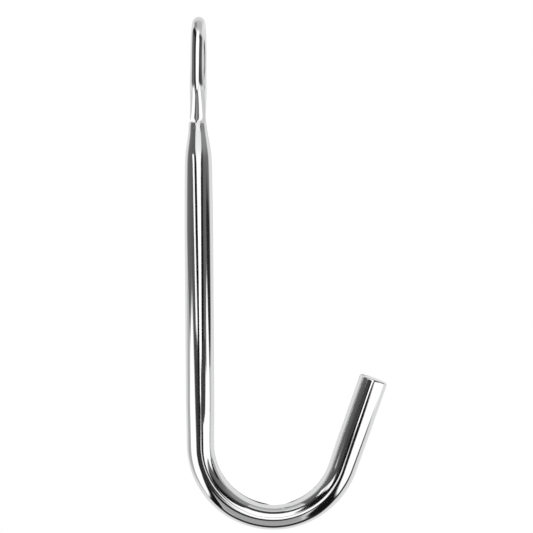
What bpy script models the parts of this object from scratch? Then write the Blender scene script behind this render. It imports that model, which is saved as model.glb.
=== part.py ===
"""Meat hook: a polished steel bar bent to a J, with a fixed ring eye welded to its turned neck.

Metres, +Z up. The origin is the top of the hole in the ring, where the hook hangs on its rail. The bend
lies in an upright plane along X and opens to +X. The ring's plane is at right angles to it, along Y.
"""

import math

import bmesh
import bpy
from mathutils import Matrix, Vector

COLLECTION = "meat_hook"
CUTTERS = "cutters"

# The bar
BAR_R = 0.0060
BEND_R = 0.0310  # to the bar's centre line
BEND_TOP_Z = -0.1755
BEND_SQUEEZE = 0.92  # a bar gets a little thinner where it is bent
TIP_LEAN = math.radians(19.8)  # outwards, from the vertical
TIP_LENGTH = 0.0401  # the straight part after the bend
TIP_R = 0.0061
TIP_ROUND_R = 0.0009
TIP_DOME = 0.0004  # the end face is ground very slightly round

# The ring
WIRE_R = 0.0027
RING_R = 0.0156  # to the wire's centre line
RING_FOOT_R = 0.0032  # the wire's radius where weld metal builds it up, at the neck
RING_FOOT_ANGLE = math.radians(75)  # the built-up stretch, each way from the foot
RING_LEAN = math.radians(1.0)  # the ring stands a little out of true

# The neck is turned down from the bar: (height, radius), from the top down
NECK_TOP_R = 0.0033
NECK = (
    (-0.0375, NECK_TOP_R),
    (-0.0392, 0.00360),
    (-0.0407, 0.00386),
    (-0.0425, 0.00396),
    (-0.0443, 0.00424),
    (-0.0475, 0.00476),
    (-0.0505, 0.00523),
    (-0.0530, 0.00553),
    (-0.0560, 0.00568),
    (-0.0620, 0.00580),
    (-0.0720, 0.00592),
    (-0.0860, BAR_R),
)
LEAN_START_Z = -0.0407  # below here the neck is in line with the shank

# The fillet welds, one in front of the neck and one behind it
FILLET_R = 0.0115  # the weld's hollow face, seen from the side
WELD_HALF_WIDTH = 0.0032

GAP = 0.0003  # between touching pieces

# Fineness of the meshes
BAR_SIDES = 32
BEND_STEPS = 28
TIP_ROUND_STEPS = 4
DOME_STEPS = 3
RING_SEGMENTS = 72
WIRE_SIDES = 24
WELD_SIDES = 36
WELD_LEVELS = 14

# Sizes that follow from those above
RING_CENTRE_Z = WIRE_R - RING_R
FOOT_OUTER_R = RING_R + RING_FOOT_R
RING_BOTTOM_Z = RING_CENTRE_Z - FOOT_OUTER_R
NECK_TOP_Z = RING_BOTTOM_Z - GAP
SHANK_X = LEAN_START_Z * math.sin(RING_LEAN)
FILLET_Z = RING_CENTRE_Z - math.sqrt(
    (FOOT_OUTER_R + FILLET_R) ** 2 - (NECK_TOP_R + FILLET_R) ** 2
)
WELD_TOP_Z = RING_CENTRE_Z + (FILLET_Z - RING_CENTRE_Z) * FOOT_OUTER_R / (FOOT_OUTER_R + FILLET_R)


def clear_scene():
    for obj in list(bpy.data.objects):
        bpy.data.objects.remove(obj, do_unlink=True)


def new_collection(name, shown):
    collection = bpy.data.collections.new(name)
    bpy.context.scene.collection.children.link(collection)
    collection.hide_render = not shown
    return collection


def steel(name, grey, roughness):
    material = bpy.data.materials.new(name)
    material.use_nodes = True
    shader = material.node_tree.nodes["Principled BSDF"]
    shader.inputs["Base Color"].default_value = (grey, grey, grey, 1.0)
    shader.inputs["Metallic"].default_value = 1.0
    shader.inputs["Roughness"].default_value = roughness
    return material


def place(obj, name, collection, material=None):
    """Names the object and its data, and moves it to the collection."""
    obj.name = name
    obj.data.name = name
    for old in list(obj.users_collection):
        old.objects.unlink(obj)
    collection.objects.link(obj)
    if material:
        obj.data.materials.append(material)
    return obj


def lean():
    """Turns a piece of the upright ring to its true lean about the hanging point."""
    return Matrix.Rotation(RING_LEAN, 4, "Y")


def tip_profile():
    """The tip as (distance from the bend's end, radius): straight, a round edge, then the slight dome."""
    profile = [(TIP_LENGTH * 0.4, TIP_R)]
    for step in range(TIP_ROUND_STEPS + 1):
        angle = math.pi / 2 * step / TIP_ROUND_STEPS
        along = TIP_LENGTH - TIP_ROUND_R * (1 - math.sin(angle))
        profile.append((along, TIP_R - TIP_ROUND_R * (1 - math.cos(angle))))
    face_r = TIP_R - TIP_ROUND_R
    for step in range(1, DOME_STEPS + 1):
        share = step / (DOME_STEPS + 1)
        profile.append((TIP_LENGTH + TIP_DOME * (1 - (1 - share) ** 2), face_r * (1 - share)))
    return profile


def bar_path():
    """The bar's centre line as (x, z, radius), from the neck's top to the tip."""
    path = [(SHANK_X, NECK_TOP_Z, NECK_TOP_R)]
    path += [(SHANK_X, z, radius) for z, radius in NECK]
    turn = math.pi - TIP_LEAN
    for step in range(BEND_STEPS + 1):
        share = step / BEND_STEPS
        x = SHANK_X + BEND_R * (1 - math.cos(turn * share))
        z = BEND_TOP_Z - BEND_R * math.sin(turn * share)
        squeeze = 1 - (1 - BEND_SQUEEZE) * math.sqrt(max(0.0, math.sin(math.pi * share)))
        path.append((x, z, BAR_R * squeeze))
    bend_end_x, bend_end_z = path[-1][:2]
    for along, radius in tip_profile():
        x = bend_end_x + along * math.sin(TIP_LEAN)
        z = bend_end_z + along * math.cos(TIP_LEAN)
        path.append((x, z, radius))
    return path


def make_hook_bar(collection):
    path = bar_path()
    curve = bpy.data.curves.new("hook_bar", "CURVE")
    curve.dimensions = "3D"
    curve.bevel_depth = BAR_R
    curve.bevel_resolution = (BAR_SIDES - 4) // 2
    curve.use_fill_caps = True
    spline = curve.splines.new("POLY")
    spline.points.add(len(path) - 1)
    for point, (x, z, radius) in zip(spline.points, path):
        point.co = (x, 0.0, z, 1.0)
        point.radius = radius / BAR_R
    bar = bpy.data.objects.new("hook_bar", curve)
    collection.objects.link(bar)
    bar.data.materials.append(steel("bar_steel", 0.80, 0.05))
    return bar


def add_torus(extra):
    """The ring standing upright on the neck and leaning, with its wire thicker by the extra radius."""
    bpy.ops.mesh.primitive_torus_add(
        major_radius=RING_R,
        minor_radius=WIRE_R,
        major_segments=RING_SEGMENTS,
        minor_segments=WIRE_SIDES,
    )
    torus = bpy.context.object
    for vert in torus.data.vertices:
        # The torus lies flat here; its +X side is turned down to be the foot.
        around = math.atan2(vert.co.y, vert.co.x)
        share = max(0.0, 1 - abs(around) / RING_FOOT_ANGLE)
        build_up = (RING_FOOT_R - WIRE_R) * share**2 * (3 - 2 * share)
        centre = Vector((RING_R * math.cos(around), RING_R * math.sin(around), 0))
        vert.co = centre + (vert.co - centre) * (WIRE_R + build_up + extra) / WIRE_R
    upright = Matrix.Rotation(math.pi / 2, 4, "Y")
    torus.matrix_world = lean() @ Matrix.Translation((0, 0, RING_CENTRE_Z)) @ upright
    return torus


def make_eye_ring(collection):
    return place(add_torus(0.0), "eye_ring", collection, steel("ring_steel", 0.80, 0.05))


def weld_section(z):
    """The weld's half width along X and half depth along Y at a height."""
    depth = NECK_TOP_R + FILLET_R - math.sqrt(FILLET_R**2 - (z - FILLET_Z) ** 2)
    share = (z - FILLET_Z) / (WELD_TOP_Z - FILLET_Z)
    return WELD_HALF_WIDTH + (WIRE_R - WELD_HALF_WIDTH) * share, depth


def weld_loft():
    """The flared top of the neck, both welds in one, as oval sections joined up the height."""
    bm = bmesh.new()
    edges = []
    for level in range(WELD_LEVELS + 1):
        z = FILLET_Z + (WELD_TOP_Z - FILLET_Z) * level / WELD_LEVELS
        half_width, half_depth = weld_section(z)
        size = Matrix.Translation((0, 0, z)) @ Matrix.Diagonal((half_width, half_depth, 1, 1))
        ends = level in (0, WELD_LEVELS)
        ring = bmesh.ops.create_circle(
            bm, cap_ends=ends, segments=WELD_SIDES, radius=1.0, matrix=size
        )["verts"]
        edges.append({edge for vert in ring for edge in vert.link_edges})
    for low, high in zip(edges, edges[1:]):
        bmesh.ops.bridge_loops(bm, edges=list(low | high))
    bmesh.ops.recalc_face_normals(bm, faces=bm.faces)
    mesh = bpy.data.meshes.new("weld")
    bm.to_mesh(mesh)
    bm.free()
    return mesh


def make_cutters(collection):
    """The spaces that the ring and the neck need, and a block for each side of the ring's middle."""
    ring_space = place(add_torus(GAP), "ring_space", collection)
    height = abs(RING_BOTTOM_Z)
    bpy.ops.mesh.primitive_cylinder_add(
        radius=NECK_TOP_R + GAP,
        depth=height,
        vertices=WELD_SIDES,
        location=(SHANK_X, 0, RING_BOTTOM_Z),
    )
    neck_space = place(bpy.context.object, "neck_space", collection)
    blocks = []
    for name, side in (("front_block", -1), ("rear_block", 1)):
        bpy.ops.mesh.primitive_cube_add(size=height, location=(0, side * height / 2, RING_BOTTOM_Z))
        blocks.append(place(bpy.context.object, name, collection))
    for cutter in (ring_space, neck_space, *blocks):
        cutter.display_type = "WIRE"
        cutter.hide_render = True
    return ring_space, neck_space, blocks


def make_weld(name, collection, cutters):
    weld = bpy.data.objects.new(name, weld_loft())
    collection.objects.link(weld)
    weld.matrix_world = lean()
    weld.data.materials.append(steel(name + "_steel", 0.78, 0.08))
    for cutter in cutters:
        cut = weld.modifiers.new(cutter.name, "BOOLEAN")
        cut.operation = "DIFFERENCE"
        cut.object = cutter
    return weld


def main():
    clear_scene()
    parts = new_collection(COLLECTION, shown=True)
    hidden = new_collection(CUTTERS, shown=False)
    ring_space, neck_space, (front_block, rear_block) = make_cutters(hidden)
    make_hook_bar(parts)
    make_eye_ring(parts)
    make_weld("front_weld", parts, (ring_space, neck_space, rear_block))
    make_weld("rear_weld", parts, (ring_space, neck_space, front_block))


main()
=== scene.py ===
"""The looks of the meat hook: mirror-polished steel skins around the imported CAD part, in a white studio.

Metres, +Z up. The frame's origin is the top of the hole in the ring. The bend lies in an upright plane
along X, and the ring stands at right angles to it.
"""

import math

import bmesh
import bpy
import numpy as np
from mathutils import Matrix, Vector


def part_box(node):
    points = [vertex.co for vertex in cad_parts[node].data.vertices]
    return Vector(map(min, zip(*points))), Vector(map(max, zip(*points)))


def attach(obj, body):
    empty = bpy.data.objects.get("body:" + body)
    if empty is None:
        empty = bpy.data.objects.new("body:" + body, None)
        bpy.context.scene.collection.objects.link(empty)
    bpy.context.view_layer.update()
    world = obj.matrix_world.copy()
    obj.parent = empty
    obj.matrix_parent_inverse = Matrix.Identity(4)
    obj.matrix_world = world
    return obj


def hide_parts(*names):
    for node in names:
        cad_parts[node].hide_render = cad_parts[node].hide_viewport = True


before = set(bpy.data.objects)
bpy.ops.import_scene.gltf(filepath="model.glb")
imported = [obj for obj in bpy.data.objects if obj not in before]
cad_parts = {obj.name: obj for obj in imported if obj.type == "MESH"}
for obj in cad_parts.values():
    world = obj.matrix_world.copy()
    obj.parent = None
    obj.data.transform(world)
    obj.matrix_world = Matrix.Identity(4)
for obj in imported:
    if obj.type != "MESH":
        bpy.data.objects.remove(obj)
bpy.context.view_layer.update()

# Sizes of the real pieces, as in the CAD
BAR_R = 0.0060
BEND_R = 0.0310
BEND_SQUEEZE = 0.92  # the share of the bar's thickness left at the bottom of the bend, in its plane
TIP_SWELL = 0.017  # how much thicker the tip is than the shank
TIP_LEAN = math.radians(19.8)
TIP_LENGTH = 0.0401
TIP_ROUND_R = 0.0009
TIP_DOME = 0.0004
WIRE_R = 0.0027
RING_R = 0.0156
RING_LEAN = math.radians(1.0)
FILLET_R = 0.0115

# Places, from the frame
BAR_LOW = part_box("hook_bar")[0]
RING_TOP_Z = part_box("eye_ring")[1][2]
SHANK_X = BAR_LOW[0] + BAR_R
RING_Z = RING_TOP_Z - WIRE_R - RING_R
LEAN_START_Z = SHANK_X / math.sin(RING_LEAN)
BEND_TOP_Z = BAR_LOW[2] + BEND_R + BEND_SQUEEZE * BAR_R
BEND_ANGLE = math.pi - TIP_LEAN
BEND_LENGTH = BEND_R * BEND_ANGLE
TIP_R = BAR_R * (1 + TIP_SWELL)
# Middle of the shank, neck and ring as (height, x): upright, then leaning through the origin, between
# heights beyond both ends of the hook
AXIS_LOW_Z = -0.3
AXIS_HIGH_Z = 0.02
AXIS_LINE = (
    (AXIS_LOW_Z, SHANK_X),
    (LEAN_START_Z, SHANK_X),
    (AXIS_HIGH_Z, AXIS_HIGH_Z * math.tan(RING_LEAN)),
)

# Radius of the ring's foot, the neck and the shank, by height
UPRIGHT_RADIUS = (
    (-0.0170, WIRE_R),
    (-0.0225, 0.00295),
    (-0.0270, 0.00330),
    (-0.0310, 0.00334),
    (-0.0375, 0.00330),
    (-0.0392, 0.00360),
    (-0.0407, 0.00386),
    (-0.0425, 0.00394),
    (-0.0443, 0.00424),
    (-0.0475, 0.00476),
    (-0.0505, 0.00523),
    (-0.0530, 0.00553),
    (-0.0560, 0.00568),
    (-0.0620, 0.00580),
    (-0.0720, 0.00592),
    (-0.0860, BAR_R),
)
# The bar's thickness in the bend's plane, as a share of the full one, by distance from the bend's start
BEND_THICKNESS = (
    (-0.016, 1.000),
    (-0.002, 0.955),
    (0.022, 0.965),
    (0.046, 0.915),
    (0.066, 0.925),
    (0.084, 0.990),
    (0.098, 1.017),
)
NECK_BOW = 0.0002  # the neck is bent this far to -X
NECK_BOW_Z = -0.0385
NECK_BOW_SPREAD = 0.0045

# Fineness of the skins: points around, rows along, and the steps between rows
BAR_SIDES = 160
WIRE_SIDES = 96
RING_ROWS = 288
BEND_ROWS = 111
TIP_ROUND_ROWS = 14
TIP_FACE_ROWS = 8
WELD_RING_ROWS = 40
WELD_CORNER_ROWS = 45
WELD_NECK_ROWS = 23
WELD_CHEEK_COLUMNS = 11
NECK_STEP = 0.0005
SHANK_STEP = 0.0013
TIP_STEP = 0.001
MERGE_DISTANCE = 1e-7
# Where the bar's skin starts, and where its rows get coarser
BAR_SKIN_TOP_Z = -0.0400
NECK_END_Z = -0.0900
# Widths over which the corners in the lines above are blurred
RADIUS_BLUR = 0.0010
AXIS_BLUR = 0.002
THICKNESS_BLUR = 0.004
BLUR_STEPS = 8  # points per width
BLUR_REACH = 3  # widths that the blur reaches to each side

# Steel. The polish lines run along the bar, so their texture is stretched that way, and so are the waves.
POLISH_LINES = (60.0, 2400.0, 2400.0)
WAVE_STRETCH = (0.45, 1.0, 1.0)
HAZE_SCALE = 170.0
NOISE_LOW = 0.3  # nearly all of a noise's values lie between these two
NOISE_HIGH = 0.7
LINE_ROUGHNESS = (0.75, 1.25)  # shares of the roughness, from the lines and from the haze
HAZE_ROUGHNESS = (0.7, 1.3)
GREY_SPREAD = 0.012
STEEL_TINT = (0.997, 1.0, 1.003)
# Grey, roughness, and height and length of the waves
BAR_STEEL = (0.82, 0.07, 1.6e-6, 0.007)
RING_STEEL = (0.82, 0.08, 1.5e-6, 0.005)
WELD_STEEL = (0.80, 0.11, 3e-6, 0.004)

# The room
FLOOR_Z = -0.35
FLOOR_R = 0.74
FLOOR_SIDES = 96
FLOOR_GREY = 0.9
LAMP_Z = 1.0
LAMP_SIZE = 1.2
LAMP_POWER = 6.0

# The camera looks level and square to the bend. The middle of its picture is given from where the shank
# meets the bend.
TARGET_X = SHANK_X + 0.02859
TARGET_Z = BEND_TOP_Z + 0.07504
CAMERA_DISTANCE = 0.636
CAMERA_ROLL = math.radians(0.4234)
CAMERA_LENS = 101.3
SENSOR_WIDTH = 36.0

# The light tent that the steel mirrors. Its aim points at the camera's side, dropped below level.
TENT_MIDDLE = np.array((0.028, 0.0, -0.10))
TENT_R = 0.30
TENT_STEP = 0.5  # degrees between its rows of points
TENT_TURN_STEP = 0.75
TENT_DROP = math.radians(20)
TENT_AIM = np.array((0.0, -math.cos(TENT_DROP), -math.sin(TENT_DROP)))
TENT_UP = np.array((0.0, -math.sin(TENT_DROP), math.cos(TENT_DROP)))
WHITE = 1.26
RIM_LEVEL = 0.85  # the bare wall, to the sides and behind
UPPER_RIM_DROP = 0.23  # how much darker the bare wall is above the aim than well below it
UPPER_RIM_FADE = (-60, 0)  # degrees above the aim
WHITE_FADE = (38, 85)  # degrees off the aim over which the bare wall falls from white
PANEL_FADE = (98, 116)  # degrees off the aim over which the panels run out

# The tent's panels, later ones over earlier ones: name, brightness (a pair says how bright at the aim and
# 90 degrees off it), width of the soft edge, and corners in degrees to the right of the aim and above it
FRONT_PANELS = (
    ("left_wall", (0.012, 0.165), 2.5, [
        (2, 4), (2, 45), (-66, 98), (-125, 50), (-125, -2), (-26, -17), (-6, -11),
    ]),
    ("left_low", 0.48, 14, [(-66, -13), (-112, -8), (-112, -70), (-50, -60)]),
    ("left_gap", (0.008, 0.012), 5, [(-43, 40), (0, 44), (0, 0), (-8, 0), (-12, 2), (-36, 28)]),
    ("left_strip", WHITE, 2, [
        (-57, 37), (-42, 40), (-36, 30), (-27, 19), (-19, 13), (-18, 10.5), (-32, 10.5), (-36, 15),
    ]),
    ("left_box_top", 0.2, 7, [(-50, 9), (-66, 10), (-70, 0), (-44, 0)]),
    ("left_box", WHITE, 5, [
        (-33, -22), (-35, -5), (-44, 1), (-60, 8), (-69, 3), (-79, -8), (-80, -20), (-62, -46),
        (-43, -55),
    ]),
    ("right_wall", (0.12, 0.17), 3, [(5, 2.5), (5, 48), (60, 100), (125, 50), (125, -30), (60, -12)]),
    ("right_top", (0.36, 0.3), 26, [(28, 50), (44, 92), (110, 84), (105, 40), (60, 40)]),
    ("right_black", 0.012, 12, [(5, 0), (5, 46), (32, 50), (37, 40), (35, 14), (26, -2)]),
    ("right_line", (0.02, 0.025), 6, [
        (64, 19), (76, 24), (104, 4), (100, -24), (84, -22), (79, -10), (71, 4),
    ]),
    ("right_wedge", WHITE, 4, [(54, -8), (55, 6), (60, 10), (66, 9), (71, 3), (79, -10)]),
    ("right_box", WHITE, 2.5, [
        (8, 0), (12, 6), (30, 6), (54, -1), (79, -10), (81, -21), (80, -38), (60, -52), (36, -50),
        (22, -28), (10, -8),
    ]),
    ("centre_fan", (1.75, 0.5), 2, [
        (-2, 4), (-3, 10), (-6, 19), (-16, 31), (-32, 49), (-75, 112), (70, 112), (28, 50), (17, 31),
        (12.5, 12), (11, 4),
    ]),
    ("frame_low", 0.03, 6, [
        (-46, -62), (-38, -52), (-25, -60), (0, -64), (22, -58), (34, -52), (46, -56), (30, -75),
        (0, -83), (-30, -77),
    ]),
    ("frame_right", 0.05, 6, [
        (36, -50), (46, -43), (60, -37), (68, -36), (70, -44), (62, -50), (44, -60),
    ]),
    ("floor", 0.42, 5, [(-24, -20), (-30, -54), (-20, -60), (0, -64), (18, -57), (14, -40), (10, -20)]),
    ("floor_far", 0.03, 4, [
        (-35, -8), (-30, -20), (-15, -30), (4, -29), (16, -20), (14, -12), (2, -17), (-8, -16),
        (-16, -9), (-24, -4),
    ]),
    ("left_bar", 0.008, 3, [
        (-33, -18), (-24, -22), (-27, -35), (-31, -58), (-40, -68), (-46, -62), (-38, -40),
    ]),
    ("right_bar", 0.008, 4, [
        (3, 9), (13, 8), (22, -2), (24, -16), (31, -30), (42, -52), (34, -62), (20, -60), (15, -40),
        (12, -14), (6, -2),
    ]),
)

# Panels behind, with corners in degrees off the opposite direction
BACK_PANELS = (
    ("back_left_strip", 0.03, 3, [(-15, -46), (-15, 6), (-9, 8), (-9, -48)]),
    ("back_box", WHITE, 3, [(-9, -48), (-9, 8), (5, 8), (5, -48)]),
    ("back_right_strip", 0.03, 4, [(5, -48), (5, 8), (14, 6), (14, -46)]),
)

# A dark card in front of the gap between the shank and the tip. It keeps the tent's left strip out of the
# tip's dark band and carries the shank's grey band down to the bend. Its corners are (x, z).
CARD_Y = -0.05
CARD_CORNERS = (
    (0.023, -0.134), (0.053, -0.134), (0.053, -0.155), (0.0505, -0.160), (0.046, -0.168),
    (0.042, -0.1695), (0.030, -0.1715), (0.013, -0.1725), (0.013, -0.150), (0.023, -0.146),
)
CARD_LEVEL = 0.06

# The panels of a small tent around the ring, placed by where the ring's front mirrors them: percent of the
# way across the wire from its middle, and degrees that its face tilts up
RING_TENT_R = 0.026
RING_TENT_ROUNDS = 30  # of the search for the spot that mirrors a direction
TINY = 1e-6  # keeps a length from being divided by zero
RING_PANEL_FADE = (0.30, 0.45)  # how far behind the ring its panels run out, as a share of the radius
RING_PANELS = (
    ("left_grey", 0.15, 8, [(-73, 42), (-40, 46), (-40, -36), (-56, -42), (-76, -32)]),
    ("right_grey", 0.15, 8, [(40, 34), (78, 30), (79, -36), (60, -40), (40, -34)]),
    ("right_dark", 0.06, 6, [(24, 30), (58, 30), (57, -36), (42, -38), (22, -32)]),
    ("left_black", 0.015, 6, [
        (-68, 44), (-44, 48), (-12, 34), (-8, -40), (-6, -50), (-28, -48), (-40, -34), (-42, 28),
    ]),
    ("centre_light", WHITE, 5, [
        (-4, 37), (18, 37), (33, 22), (32, -8), (22, -34), (2, -46), (-10, -46), (-16, -30), (-15, 0),
        (-14, 22),
    ]),
    ("cap", 0.56, 10, [(-50, 80), (60, 80), (64, 32), (30, 38), (-30, 42)]),
    ("cap_shade", 0.28, 10, [(-52, 60), (-16, 56), (-6, 42), (-46, 44)]),
    ("cap_rim", 0.76, 10, [(-110, 95), (110, 95), (110, 60), (-110, 60)]),
    ("foot_rim", 0.7, 6, [(-110, -44), (110, -44), (110, -90), (-110, -90)]),
    ("foot_left", WHITE, 4, [
        (-50, -37), (-43, -43), (-31, -50), (-31, -90), (-61, -90), (-66, -50), (-59, -42),
    ]),
    ("foot_right", WHITE, 4, [
        (28, -36), (38, -41), (44, -48), (42, -90), (8, -90), (8, -50), (18, -42),
    ]),
    ("foot_column", 0.12, 4, [(-32, -44), (-12, -42), (4, -46), (10, -52), (10, -90), (-33, -90)]),
    ("foot_glint", 0.45, 4, [(-15, -50), (-5, -50), (-5, -90), (-15, -90)]),
)

# One more panel of that tent, in degrees around it from its front and up from its middle
RING_SIDE_PANELS = (
    ("side_line", 0.08, 10, [(115, 14), (134, 14), (134, -36), (112, -36)]),
)


def smoothed(points, at, blur):
    """Values at the given places on a line through listed points, with its corners blurred."""
    places, values = np.array(sorted(points)).T
    margin = (BLUR_REACH + 1) * blur
    dense = np.arange(places[0] - margin, places[-1] + margin, blur / BLUR_STEPS)
    reach = BLUR_REACH * BLUR_STEPS
    kernel = np.exp(-0.5 * (np.arange(-reach, reach + 1) / BLUR_STEPS) ** 2)
    padded = np.pad(np.interp(dense, places, values), reach, mode="edge")
    return np.interp(at, dense, np.convolve(padded, kernel / kernel.sum(), mode="valid"))


def upright_radius(z):
    """Radius of the ring's foot, the neck and the shank at a height."""
    return smoothed(UPRIGHT_RADIUS, z, RADIUS_BLUR)


def axis_x(z):
    """Where the middle of the ring, neck and shank stands at a height."""
    z = np.asarray(z, float)
    line = smoothed(AXIS_LINE, z, AXIS_BLUR)
    return line - NECK_BOW * np.exp(-(((z - NECK_BOW_Z) / NECK_BOW_SPREAD) ** 2))


# The welded foot of the ring. Seen from the side it fills the corners between the ring and the neck with
# arcs that leave the neck's line at FOOT_Z and meet the ring's centre line at MEET_ANGLE from its foot.
NECK_MIDDLE_Z = -0.0340
LEG_R = FILLET_R + float(upright_radius(NECK_MIDDLE_Z))
FOOT_Z = RING_Z - math.sqrt((RING_R + LEG_R) ** 2 - LEG_R**2)
MEET_ANGLE = math.asin(LEG_R / (RING_R + LEG_R))
WELD_ANGLE = math.radians(45)  # where the weld's skin gives way to the ring's
WELD_RUN_OUT = math.radians(13)
WELD_LOW_Z = -0.0440  # where it gives way to the bar's
WELD_RUN_DOWN = 0.0030
DIVE = 0.0002  # how deep a skin ends under its neighbour
RING_RUN_LIMIT = 1.5  # the ring's skin sinks no further past this many run-outs


def skin(name, node_names, verts, faces, straight=None):
    """A smooth closed mesh that stands for CAD nodes.

    Its "straight" attribute says where each point lies on the rod or wire before bending: the length along
    it, then the place across it. The steel's texture is laid along that.
    """
    mesh = bpy.data.meshes.new(name)
    mesh.from_pydata([tuple(v) for v in verts], [], faces)
    texture_place = mesh.attributes.new("straight", "FLOAT_VECTOR", "POINT")
    texture_place.data.foreach_set("vector", np.asarray(verts if straight is None else straight).ravel())
    bm = bmesh.new()
    bm.from_mesh(mesh)
    bmesh.ops.remove_doubles(bm, verts=bm.verts, dist=MERGE_DISTANCE)
    bmesh.ops.holes_fill(bm, edges=[e for e in bm.edges if e.is_boundary], sides=0)
    bmesh.ops.recalc_face_normals(bm, faces=bm.faces)
    bm.to_mesh(mesh)
    bm.free()
    mesh.shade_smooth()
    obj = bpy.data.objects.new(name, mesh)
    bpy.context.scene.collection.objects.link(obj)
    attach(obj, "root")
    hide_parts(*node_names)
    return obj


def grid_faces(rows, columns, closed, start=0):
    """Quads between the rows of a grid of points. A closed grid joins its last column to its first."""
    last = columns if closed else columns - 1
    return [
        (
            start + row * columns + column,
            start + row * columns + (column + 1) % columns,
            start + (row + 1) * columns + (column + 1) % columns,
            start + (row + 1) * columns + column,
        )
        for row in range(rows - 1)
        for column in range(last)
    ]


def bar_stations():
    """The bar from neck to tip as rows of (x, z, tangent x, tangent z, half thickness, half depth)."""
    neck_z = np.arange(BAR_SKIN_TOP_Z, NECK_END_Z, -NECK_STEP)
    shank_z = np.arange(NECK_END_Z, BEND_TOP_Z, -SHANK_STEP)
    z = np.concatenate((neck_z, shank_z, [BEND_TOP_Z]))
    dive = DIVE * np.clip((z - WELD_LOW_Z) / WELD_RUN_DOWN, 0, None) ** 2
    along = BEND_TOP_Z - z
    radius = upright_radius(z) - dive
    shape = smoothed(BEND_THICKNESS, along, THICKNESS_BLUR)
    upright = np.column_stack((axis_x(z), z, 0 * z, 0 * z - 1, radius * shape, radius))

    share = np.linspace(0, 1, BEND_ROWS + 1)[1:]
    angle = BEND_ANGLE * share
    thick = BAR_R * smoothed(BEND_THICKNESS, BEND_LENGTH * share, THICKNESS_BLUR)
    depth = BAR_R * (1 + TIP_SWELL * share)
    bend = np.column_stack(
        (
            SHANK_X + BEND_R * (1 - np.cos(angle)),
            BEND_TOP_Z - BEND_R * np.sin(angle),
            np.sin(angle),
            -np.cos(angle),
            thick,
            depth,
        )
    )

    end_x, end_z = bend[-1][:2]
    straight = np.arange(TIP_STEP, TIP_LENGTH - TIP_ROUND_R, TIP_STEP)
    turn = np.linspace(0, math.pi / 2, TIP_ROUND_ROWS)
    round_along = TIP_LENGTH - TIP_ROUND_R * (1 - np.sin(turn))
    round_r = TIP_R - TIP_ROUND_R * (1 - np.cos(turn))
    inward = np.linspace(0, 1, TIP_FACE_ROWS + 2)[1:-1]
    face_along = TIP_LENGTH + TIP_DOME * (1 - (1 - inward) ** 2)
    face_r = (TIP_R - TIP_ROUND_R) * (1 - inward)
    along = np.concatenate((straight, round_along, face_along))
    radius = np.concatenate((0 * straight + TIP_R, round_r, face_r))
    shape = smoothed(BEND_THICKNESS, BEND_LENGTH + along, THICKNESS_BLUR)
    thick = radius * shape / (1 + TIP_SWELL)
    tangent = np.array((math.sin(TIP_LEAN), math.cos(TIP_LEAN)))
    tip = np.column_stack(
        (
            end_x + along * tangent[0],
            end_z + along * tangent[1],
            0 * along + tangent[0],
            0 * along + tangent[1],
            thick,
            radius,
        )
    )
    return np.vstack((upright, bend, tip))


def make_bar():
    """The bar: a tube of flattened rounds, closed at the tip and diving under the weld's skin on top."""
    stations = bar_stations()
    around = 2 * math.pi * np.arange(BAR_SIDES) / BAR_SIDES
    x, z, tx, tz, thick, depth = (column[:, None] for column in stations.T)
    side = thick * np.cos(around)
    verts = np.stack((x + side * -tz, depth * np.sin(around) + 0 * x, z + side * tx), axis=-1)
    faces = grid_faces(len(stations), BAR_SIDES, closed=True)
    steps = np.hypot(np.diff(x, axis=0), np.diff(z, axis=0))
    along = np.vstack(([[0.0]], np.cumsum(steps, axis=0)))
    straight = np.stack((along + 0 * side, side, depth * np.sin(around)), axis=-1).reshape(-1, 3)
    return skin("hook_bar_polished", ["hook_bar"], verts.reshape(-1, 3), faces, straight)


def make_ring():
    """The wire ring, which dives under the weld's skin at its foot."""
    around = np.linspace(-math.pi, math.pi, RING_ROWS + 1)[:-1]
    turn = 2 * math.pi * np.arange(WIRE_SIDES) / WIRE_SIDES
    middle_z = RING_Z - RING_R * np.cos(around)
    under = np.clip((WELD_ANGLE - np.abs(around)) / WELD_RUN_OUT, 0, RING_RUN_LIMIT)
    radius = (upright_radius(middle_z) - DIVE * under**2)[:, None]
    out = RING_R + radius * np.cos(turn)
    y = out * np.sin(around)[:, None]
    z = RING_Z - out * np.cos(around)[:, None]
    verts = np.stack((axis_x(z) + radius * np.sin(turn), y, z), axis=-1)
    faces = grid_faces(len(around), WIRE_SIDES, closed=True)
    last = (len(around) - 1) * WIRE_SIDES
    faces += [
        (last + k, last + (k + 1) % WIRE_SIDES, (k + 1) % WIRE_SIDES, k) for k in range(WIRE_SIDES)
    ]
    along = RING_R * around[:, None] + 0 * radius * turn
    straight = np.stack((along, radius * np.cos(turn), radius * np.sin(turn)), axis=-1).reshape(-1, 3)
    return skin("eye_ring_polished", ["eye_ring"], verts.reshape(-1, 3), faces, straight)


def weld_radius(z, angle):
    """The weld's radius, less the dive under the ring's skin or the bar's."""
    under_ring = np.clip((angle - WELD_ANGLE) / WELD_RUN_OUT, 0, None)
    under_bar = np.clip((WELD_LOW_Z - z) / WELD_RUN_DOWN, 0, None)
    return upright_radius(z) - DIVE * (under_ring**2 + under_bar**2)


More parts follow.
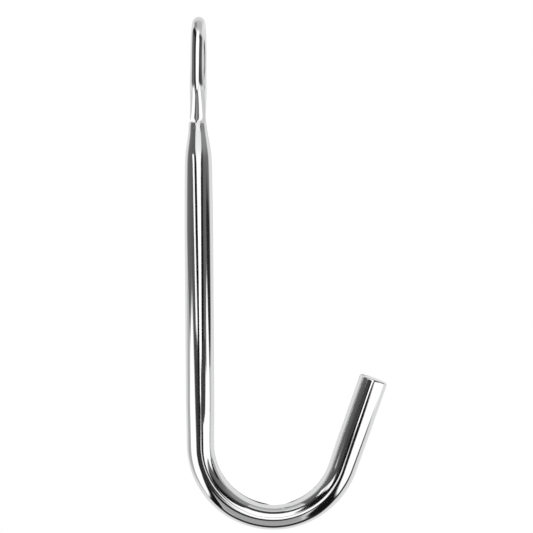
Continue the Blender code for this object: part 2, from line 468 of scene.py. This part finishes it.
def weld_outer_line():
    """The weld's outer edge as (y, z, outward y, outward z, angle from the ring's foot), for y > 0."""
    ring = np.linspace(WELD_ANGLE + WELD_RUN_OUT, MEET_ANGLE, WELD_RING_ROWS)
    on_ring = np.column_stack(
        (RING_R * np.sin(ring), RING_Z - RING_R * np.cos(ring), np.sin(ring), -np.cos(ring), ring)
    )
    leg = np.linspace(math.pi / 2 - MEET_ANGLE, 0, WELD_CORNER_ROWS)[1:]
    on_leg = np.column_stack(
        (
            LEG_R * (1 - np.cos(leg)),
            FOOT_Z + LEG_R * np.sin(leg),
            np.cos(leg),
            -np.sin(leg),
            0 * leg,
        )
    )
    z = np.linspace(FOOT_Z, WELD_LOW_Z - WELD_RUN_DOWN, WELD_NECK_ROWS + 1)[1:]
    on_neck = np.column_stack((0 * z, z, 0 * z + 1, 0 * z, 0 * z))
    return np.vstack((on_ring, on_leg, on_neck))


def half_tube(line, flip):
    """Points of a half round along a line, from its +X side over its outer side to its -X side.

    A flip of -1 mirrors it to y < 0.
    """
    y, z, out_y, out_z, angle = (column[:, None] for column in line.T)
    turn = np.linspace(math.pi / 2, -math.pi / 2, WIRE_SIDES // 2 + 1)
    radius = weld_radius(z, angle)
    tube_y = flip * (y + out_y * radius * np.cos(turn))
    tube_z = z + out_z * radius * np.cos(turn)
    return np.stack((axis_x(tube_z) + radius * np.sin(turn), tube_y, tube_z), axis=-1)


def weld_flats():
    """The flat cheek between a welded corner and the ring's centre line, as grids of y > 0 and of z."""
    leg = np.linspace(math.pi / 2 - MEET_ANGLE, 0, WELD_CORNER_ROWS)
    ring = np.linspace(MEET_ANGLE, 0, WELD_CORNER_ROWS)
    across = np.linspace(0, 1, WELD_CHEEK_COLUMNS)
    leg_y = LEG_R * (1 - np.cos(leg))
    leg_z = FOOT_Z + LEG_R * np.sin(leg)
    ring_y = RING_R * np.sin(ring)
    ring_z = RING_Z - RING_R * np.cos(ring)
    y = leg_y[:, None] + (ring_y - leg_y)[:, None] * across
    z = leg_z[:, None] + (ring_z - leg_z)[:, None] * across
    return y, z


def make_weld():
    """The weld that joins the ring to the neck: two outer edges, the inner edge and the flat cheeks."""
    outer = weld_outer_line()
    far = np.linspace(WELD_ANGLE + WELD_RUN_OUT, MEET_ANGLE, WELD_RING_ROWS)
    near = np.linspace(MEET_ANGLE, -MEET_ANGLE, 2 * WELD_CORNER_ROWS - 1)[1:-1]
    angle = np.concatenate((far, near, -far[::-1]))
    inner = np.column_stack(
        (RING_R * np.sin(angle), RING_Z - RING_R * np.cos(angle), -np.sin(angle), np.cos(angle), abs(angle))
    )
    grids = [half_tube(outer, 1), half_tube(outer, -1), half_tube(inner, 1)]
    y, z = weld_flats()
    for flip in (1, -1):
        for side in (1, -1):
            grids.append(np.stack((axis_x(z) + side * weld_radius(z, 0), flip * y, z), axis=-1))
    verts = []
    faces = []
    for grid in grids:
        faces += grid_faces(grid.shape[0], grid.shape[1], closed=False, start=len(verts))
        verts += grid.reshape(-1, 3).tolist()
    return skin("neck_weld_polished", ["front_weld", "rear_weld"], verts, faces)


def add_node(material, kind, **inputs):
    """A node with values set on, or links made to, its named inputs."""
    node = material.node_tree.nodes.new(kind)
    for name, value in inputs.items():
        socket = node.inputs[name.replace("_", " ")]
        if isinstance(value, bpy.types.NodeSocket):
            material.node_tree.links.new(value, socket)
        else:
            socket.default_value = value
    return node


def noise(material, place, scale, detail):
    """How high a cloudy noise is at a place."""
    return add_node(material, "ShaderNodeTexNoise", Vector=place, Scale=scale, Detail=detail).outputs["Fac"]


def stretched(material, place, scale):
    """A place with each of its directions scaled."""
    return add_node(material, "ShaderNodeMapping", Vector=place, Scale=scale).outputs[0]


def spread(material, source, low, high):
    """The middle of a noise's range, stretched to run from low to high."""
    limits = {"From_Min": NOISE_LOW, "From_Max": NOISE_HIGH, "To_Min": low, "To_Max": high}
    return add_node(material, "ShaderNodeMapRange", Value=source, **limits).outputs["Result"]


def polished_steel(name, grey, roughness, wave_height, wave_length):
    """Mirror steel with faint lengthwise polish lines, cloudy haze and a surface that isn't quite true."""
    material = bpy.data.materials.new(name)
    material.use_nodes = True
    shader = material.node_tree.nodes["Principled BSDF"]
    links = material.node_tree.links
    shader.inputs["Metallic"].default_value = 1.0

    straight = material.node_tree.nodes.new("ShaderNodeAttribute")
    straight.attribute_name = "straight"
    place = straight.outputs["Vector"]
    lined = stretched(material, place, POLISH_LINES)
    waved = stretched(material, place, WAVE_STRETCH)
    lines = noise(material, lined, scale=1.0, detail=3.0)
    haze = noise(material, place, scale=HAZE_SCALE, detail=4.0)
    waves = noise(material, waved, scale=1.0 / wave_length, detail=1.0)

    rough = add_node(material, "ShaderNodeMath")
    rough.operation = "MULTIPLY"
    low, high = HAZE_ROUGHNESS
    links.new(spread(material, lines, *LINE_ROUGHNESS), rough.inputs[0])
    links.new(spread(material, haze, low * roughness, high * roughness), rough.inputs[1])
    links.new(rough.outputs[0], shader.inputs["Roughness"])

    shade = add_node(material, "ShaderNodeCombineColor")
    for channel, tint in zip(("Red", "Green", "Blue"), STEEL_TINT):
        low, high = (grey - GREY_SPREAD) * tint, (grey + GREY_SPREAD) * tint
        links.new(spread(material, lines, low, high), shade.inputs[channel])
    links.new(shade.outputs[0], shader.inputs["Base Color"])

    height = spread(material, waves, 0.0, wave_height)
    bump = add_node(material, "ShaderNodeBump", Height=height, Strength=1.0, Distance=1.0)
    links.new(bump.outputs["Normal"], shader.inputs["Normal"])
    return material


def ramp(value, start, end):
    """0 before start, 1 after end, eased in between."""
    share = np.clip((value - start) / (end - start), 0, 1)
    return share * share * (3 - 2 * share)


def inside_distance(right, up, corners):
    """How far points lie inside a polygon's edge, or outside it as a negative number."""
    nearest = np.full(right.shape, np.inf)
    inside = np.zeros(right.shape, bool)
    for (ax, ay), (bx, by) in zip(corners, corners[1:] + corners[:1]):
        edge_x, edge_y = bx - ax, by - ay
        share = np.clip(((right - ax) * edge_x + (up - ay) * edge_y) / (edge_x**2 + edge_y**2), 0, 1)
        nearest = np.minimum(nearest, np.hypot(right - ax - share * edge_x, up - ay - share * edge_y))
        if ay != by:
            crosses = (ay > up) != (by > up)
            inside ^= crosses & (right < ax + edge_x * (up - ay) / (by - ay))
    return np.where(inside, nearest, -nearest)


def lay_panels(light, panels, right, up, reach=0):
    """Light with panels laid over it, from how far right, up and off the aim each place is."""
    for _, level, soft, corners in panels:
        if isinstance(level, tuple):
            near_level, far_level = level
            level = near_level + (far_level - near_level) * reach / 90
        light = light + (level - light) * ramp(inside_distance(right, up, corners), -soft / 2, soft / 2)
    return light


def tent_light(reach, turn, _):
    """Brightness of the tent's wall, from angles in degrees off its aim and around it."""
    right = reach * np.sin(np.radians(turn))
    up = -reach * np.cos(np.radians(turn))
    rim = RIM_LEVEL - UPPER_RIM_DROP * ramp(up, *UPPER_RIM_FADE)
    light = WHITE + (rim - WHITE) * ramp(reach, *WHITE_FADE)
    light = lay_panels(light, FRONT_PANELS, right, up, reach)
    light = light + (RIM_LEVEL - light) * ramp(reach, *PANEL_FADE)
    back_reach = 180 - reach
    back_right = back_reach * np.sin(np.radians(turn))
    back_up = -back_reach * np.cos(np.radians(turn))
    return lay_panels(light, BACK_PANELS, back_right, back_up)


def glow_material(name):
    """A material without a shader, for a glow that isn't sampled as a lamp."""
    material = bpy.data.materials.new(name)
    material.use_nodes = True
    material.cycles.emission_sampling = "NONE"
    material.node_tree.nodes.remove(material.node_tree.nodes["Principled BSDF"])
    return material


def glow(material, level):
    """A white glow of a level."""
    node = add_node(material, "ShaderNodeEmission", Color=(1, 1, 1, 1), Strength=level)
    return node.outputs[0]


def show_to_steel_only(name, mesh, material, surface):
    """Puts a glowing thing in the studio, for nothing but the reflections in the polished steel."""
    output = material.node_tree.nodes["Material Output"]
    material.node_tree.links.new(surface, output.inputs["Surface"])
    mesh.materials.append(material)
    obj = bpy.data.objects.new(name, mesh)
    bpy.context.scene.collection.objects.link(obj)
    obj.visible_camera = False
    obj.visible_diffuse = False
    obj.visible_transmission = False
    obj.visible_volume_scatter = False
    obj.visible_shadow = False


def glowing_shell(name, middle, radius, levels):
    """A ball that glows on its inside and can't be seen from outside.

    levels gives the brightness for arrays of angles off the tent's aim and around it, in degrees, and for
    the directions from its middle.
    """
    reach, turn = np.meshgrid(
        np.arange(0, 180 + TENT_STEP / 2, TENT_STEP), np.arange(0, 360, TENT_TURN_STEP), indexing="ij"
    )
    off = np.radians(reach)[..., None]
    around = np.radians(turn)[..., None]
    across = np.array((1.0, 0.0, 0.0))
    wall = TENT_AIM * np.cos(off) + np.sin(off) * (across * np.sin(around) - TENT_UP * np.cos(around))
    verts = (middle + radius * wall).reshape(-1, 3)
    mesh = bpy.data.meshes.new(name)
    mesh.from_pydata(verts.tolist(), [], grid_faces(reach.shape[0], reach.shape[1], closed=True))
    some_face = mesh.polygons[len(mesh.polygons) // 2]
    if some_face.normal.dot(some_face.center - Vector(middle)) > 0:
        mesh.flip_normals()
    light = mesh.attributes.new("light", "FLOAT", "POINT")
    light.data.foreach_set("value", levels(reach, turn, wall).ravel())

    material = glow_material(name)
    links = material.node_tree.links
    level = material.node_tree.nodes.new("ShaderNodeAttribute")
    level.attribute_name = "light"
    side = add_node(material, "ShaderNodeNewGeometry")
    clear = add_node(material, "ShaderNodeBsdfTransparent")
    chosen = add_node(material, "ShaderNodeMixShader")
    links.new(side.outputs["Backfacing"], chosen.inputs[0])
    links.new(glow(material, level.outputs["Fac"]), chosen.inputs[1])
    links.new(clear.outputs[0], chosen.inputs[2])
    show_to_steel_only(name, mesh, material, chosen.outputs[0])


def dark_card(name, corners, y, level):
    """A small upright card of (x, z) corners."""
    mesh = bpy.data.meshes.new(name)
    mesh.from_pydata([(x, y, z) for x, z in corners], [], [tuple(range(len(corners)))])
    material = glow_material(name)
    show_to_steel_only(name, mesh, material, glow(material, level))


def ring_front_normal(wall):
    """For directions on the ring's tent, the normal of the ring's front that mirrors them to the camera."""
    view = np.array((0.0, 1.0, 0.0))
    spot = 0 * wall
    for _ in range(RING_TENT_ROUNDS):
        toward = RING_TENT_R * wall - spot
        normal = toward / np.linalg.norm(toward, axis=-1, keepdims=True) - view
        normal /= np.maximum(np.linalg.norm(normal, axis=-1, keepdims=True), TINY)
        upright = normal * (0, 1, 1)
        upright /= np.maximum(np.linalg.norm(upright, axis=-1, keepdims=True), TINY)
        spot = 0.5 * spot + 0.5 * (RING_R * upright + WIRE_R * normal)
    return normal


def ring_tent_light(reach, _, wall):
    """Brightness of the ring tent's wall, from directions off its middle."""
    normal = ring_front_normal(wall)
    percent_across = 100 * normal[..., 0]
    tilt = np.degrees(np.arctan2(normal[..., 2], -normal[..., 1]))
    light = lay_panels(np.full(reach.shape, RIM_LEVEL), RING_PANELS, percent_across, tilt)
    light = light + (RIM_LEVEL - light) * ramp(wall[..., 1], *RING_PANEL_FADE)
    around = np.degrees(np.arctan2(wall[..., 0], -wall[..., 1]))
    height = np.degrees(np.arcsin(wall[..., 2]))
    return lay_panels(light, RING_SIDE_PANELS, around, height)


def make_studio():
    """A white room, a pale floor under the hanging hook and one soft lamp above it."""
    world = bpy.data.worlds.new("white_room")
    world.use_nodes = True
    air = world.node_tree.nodes["Background"]
    air.inputs["Color"].default_value = (1, 1, 1, 1)
    air.inputs["Strength"].default_value = 1.0
    bpy.context.scene.world = world

    bpy.ops.mesh.primitive_circle_add(
        vertices=FLOOR_SIDES, radius=FLOOR_R, fill_type="NGON", location=(TENT_MIDDLE[0], 0, FLOOR_Z)
    )
    floor = bpy.context.object
    floor.name = "pale_floor"
    paint = bpy.data.materials.new("pale_floor")
    paint.use_nodes = True
    shader = paint.node_tree.nodes["Principled BSDF"]
    shader.inputs["Base Color"].default_value = (FLOOR_GREY, FLOOR_GREY, FLOOR_GREY, 1)
    shader.inputs["Roughness"].default_value = 1.0
    floor.data.materials.append(paint)
    floor.visible_glossy = False

    lamp = bpy.data.lights.new("soft_lamp", "AREA")
    lamp.size = LAMP_SIZE
    lamp.energy = LAMP_POWER
    lamp_stand = bpy.data.objects.new("soft_lamp", lamp)
    bpy.context.scene.collection.objects.link(lamp_stand)
    lamp_stand.location = (TENT_MIDDLE[0], 0, LAMP_Z)
    lamp_stand.visible_glossy = False
    bpy.context.scene.view_settings.view_transform = "Standard"


def make_camera():
    """A long lens, level, square to the bend."""
    target = Vector((TARGET_X, 0.0, TARGET_Z))
    right = Vector((math.cos(CAMERA_ROLL), 0, -math.sin(CAMERA_ROLL)))
    up = Vector((math.sin(CAMERA_ROLL), 0, math.cos(CAMERA_ROLL)))
    back = Vector((0, -1, 0))
    data = bpy.data.cameras.new("camera")
    data.sensor_width = SENSOR_WIDTH
    data.lens = CAMERA_LENS
    camera = bpy.data.objects.new("camera", data)
    bpy.context.scene.collection.objects.link(camera)
    placed = Matrix((right, up, back)).transposed().to_4x4()
    placed.translation = target + back * CAMERA_DISTANCE
    camera.matrix_world = placed
    bpy.context.scene.camera = camera


bar = make_bar()
ring = make_ring()
weld = make_weld()
bar.data.materials.append(polished_steel("bar_steel", *BAR_STEEL))
ring.data.materials.append(polished_steel("ring_steel", *RING_STEEL))
weld.data.materials.append(polished_steel("weld_steel", *WELD_STEEL))
glowing_shell("light_tent", TENT_MIDDLE, TENT_R, tent_light)
glowing_shell("ring_tent", np.array((axis_x(RING_Z), 0.0, RING_Z)), RING_TENT_R, ring_tent_light)
dark_card("dark_card", CARD_CORNERS, CARD_Y, CARD_LEVEL)
make_studio()
make_camera()
